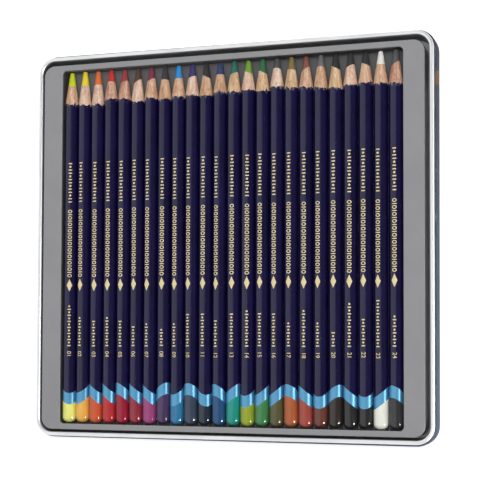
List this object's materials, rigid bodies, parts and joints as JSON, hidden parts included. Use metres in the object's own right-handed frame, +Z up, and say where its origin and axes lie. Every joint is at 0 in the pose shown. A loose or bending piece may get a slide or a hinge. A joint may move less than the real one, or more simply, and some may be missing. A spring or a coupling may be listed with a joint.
{
  "type": "ink pencil set",
  "caption": "Flat open tin holding a row of round lacquered colour pencils in a formed tray, with its printed slip lid stowed under the base.",
  "frame": {"origin": "middle of the surface that the tin lies on, under the stowed lid's panel", "axes": "+X across the row of pencils, +Y along them towards their points, +Z up"},
  "size_m": [0.201, 0.1912, 0.0127],
  "materials": {
    "lid_print": "satin print",
    "tinplate": "bright",
    "tray_plastic": "matte",
    "casing": "gloss lacquer",
    "core_01": "matte",
    "core_02": "matte",
    "core_03": "matte",
    "core_04": "matte",
    "core_05": "matte",
    "core_06": "matte",
    "core_07": "matte",
    "core_08": "matte",
    "core_09": "matte",
    "core_10": "matte",
    "core_11": "matte",
    "core_12": "matte",
    "core_13": "matte",
    "core_14": "matte",
    "core_15": "matte",
    "core_16": "matte",
    "core_17": "matte",
    "core_18": "matte",
    "core_19": "matte",
    "core_20": "matte",
    "core_21": "matte",
    "core_22": "matte",
    "core_23": "matte",
    "core_24": "matte"
  },
  "bodies": {
    "lid": {"lid": "lid_print"},
    "base": {"base_tin": "tinplate"},
    "tray": {"pencil_tray": "tray_plastic"},
    "pencil_01": {"pencil_01_casing": "casing", "pencil_01_core": "core_01"},
    "pencil_02": {"pencil_02_casing": "casing", "pencil_02_core": "core_02"},
    "pencil_03": {"pencil_03_casing": "casing", "pencil_03_core": "core_03"},
    "pencil_04": {"pencil_04_casing": "casing", "pencil_04_core": "core_04"},
    "pencil_05": {"pencil_05_casing": "casing", "pencil_05_core": "core_05"},
    "pencil_06": {"pencil_06_casing": "casing", "pencil_06_core": "core_06"},
    "pencil_07": {"pencil_07_casing": "casing", "pencil_07_core": "core_07"},
    "pencil_08": {"pencil_08_casing": "casing", "pencil_08_core": "core_08"},
    "pencil_09": {"pencil_09_casing": "casing", "pencil_09_core": "core_09"},
    "pencil_10": {"pencil_10_casing": "casing", "pencil_10_core": "core_10"},
    "pencil_11": {"pencil_11_casing": "casing", "pencil_11_core": "core_11"},
    "pencil_12": {"pencil_12_casing": "casing", "pencil_12_core": "core_12"},
    "pencil_13": {"pencil_13_casing": "casing", "pencil_13_core": "core_13"},
    "pencil_14": {"pencil_14_casing": "casing", "pencil_14_core": "core_14"},
    "pencil_15": {"pencil_15_casing": "casing", "pencil_15_core": "core_15"},
    "pencil_16": {"pencil_16_casing": "casing", "pencil_16_core": "core_16"},
    "pencil_17": {"pencil_17_casing": "casing", "pencil_17_core": "core_17"},
    "pencil_18": {"pencil_18_casing": "casing", "pencil_18_core": "core_18"},
    "pencil_19": {"pencil_19_casing": "casing", "pencil_19_core": "core_19"},
    "pencil_20": {"pencil_20_casing": "casing", "pencil_20_core": "core_20"},
    "pencil_21": {"pencil_21_casing": "casing", "pencil_21_core": "core_21"},
    "pencil_22": {"pencil_22_casing": "casing", "pencil_22_core": "core_22"},
    "pencil_23": {"pencil_23_casing": "casing", "pencil_23_core": "core_23"},
    "pencil_24": {"pencil_24_casing": "casing", "pencil_24_core": "core_24"}
  },
  "joints": [
    {"name": "base_lift", "type": "slide", "parent": "lid", "child": "base", "axis": [0, 0, 1], "range_m": [0, 0.04]},
    {"name": "tray_lift", "type": "slide", "parent": "base", "child": "tray", "axis": [0, 0, 1], "range_m": [0, 0.04]},
    {"name": "pencil_01_lift", "type": "slide", "parent": "tray", "child": "pencil_01", "axis": [0, 0, 1], "range_m": [0, 0.04]},
    {"name": "pencil_02_lift", "type": "slide", "parent": "tray", "child": "pencil_02", "axis": [0, 0, 1], "range_m": [0, 0.04]},
    {"name": "pencil_03_lift", "type": "slide", "parent": "tray", "child": "pencil_03", "axis": [0, 0, 1], "range_m": [0, 0.04]},
    {"name": "pencil_04_lift", "type": "slide", "parent": "tray", "child": "pencil_04", "axis": [0, 0, 1], "range_m": [0, 0.04]},
    {"name": "pencil_05_lift", "type": "slide", "parent": "tray", "child": "pencil_05", "axis": [0, 0, 1], "range_m": [0, 0.04]},
    {"name": "pencil_06_lift", "type": "slide", "parent": "tray", "child": "pencil_06", "axis": [0, 0, 1], "range_m": [0, 0.04]},
    {"name": "pencil_07_lift", "type": "slide", "parent": "tray", "child": "pencil_07", "axis": [0, 0, 1], "range_m": [0, 0.04]},
    {"name": "pencil_08_lift", "type": "slide", "parent": "tray", "child": "pencil_08", "axis": [0, 0, 1], "range_m": [0, 0.04]},
    {"name": "pencil_09_lift", "type": "slide", "parent": "tray", "child": "pencil_09", "axis": [0, 0, 1], "range_m": [0, 0.04]},
    {"name": "pencil_10_lift", "type": "slide", "parent": "tray", "child": "pencil_10", "axis": [0, 0, 1], "range_m": [0, 0.04]},
    {"name": "pencil_11_lift", "type": "slide", "parent": "tray", "child": "pencil_11", "axis": [0, 0, 1], "range_m": [0, 0.04]},
    {"name": "pencil_12_lift", "type": "slide", "parent": "tray", "child": "pencil_12", "axis": [0, 0, 1], "range_m": [0, 0.04]},
    {"name": "pencil_13_lift", "type": "slide", "parent": "tray", "child": "pencil_13", "axis": [0, 0, 1], "range_m": [0, 0.04]},
    {"name": "pencil_14_lift", "type": "slide", "parent": "tray", "child": "pencil_14", "axis": [0, 0, 1], "range_m": [0, 0.04]},
    {"name": "pencil_15_lift", "type": "slide", "parent": "tray", "child": "pencil_15", "axis": [0, 0, 1], "range_m": [0, 0.04]},
    {"name": "pencil_16_lift", "type": "slide", "parent": "tray", "child": "pencil_16", "axis": [0, 0, 1], "range_m": [0, 0.04]},
    {"name": "pencil_17_lift", "type": "slide", "parent": "tray", "child": "pencil_17", "axis": [0, 0, 1], "range_m": [0, 0.04]},
    {"name": "pencil_18_lift", "type": "slide", "parent": "tray", "child": "pencil_18", "axis": [0, 0, 1], "range_m": [0, 0.04]},
    {"name": "pencil_19_lift", "type": "slide", "parent": "tray", "child": "pencil_19", "axis": [0, 0, 1], "range_m": [0, 0.04]},
    {"name": "pencil_20_lift", "type": "slide", "parent": "tray", "child": "pencil_20", "axis": [0, 0, 1], "range_m": [0, 0.04]},
    {"name": "pencil_21_lift", "type": "slide", "parent": "tray", "child": "pencil_21", "axis": [0, 0, 1], "range_m": [0, 0.04]},
    {"name": "pencil_22_lift", "type": "slide", "parent": "tray", "child": "pencil_22", "axis": [0, 0, 1], "range_m": [0, 0.04]},
    {"name": "pencil_23_lift", "type": "slide", "parent": "tray", "child": "pencil_23", "axis": [0, 0, 1], "range_m": [0, 0.04]},
    {"name": "pencil_24_lift", "type": "slide", "parent": "tray", "child": "pencil_24", "axis": [0, 0, 1], "range_m": [0, 0.04]}
  ]
}
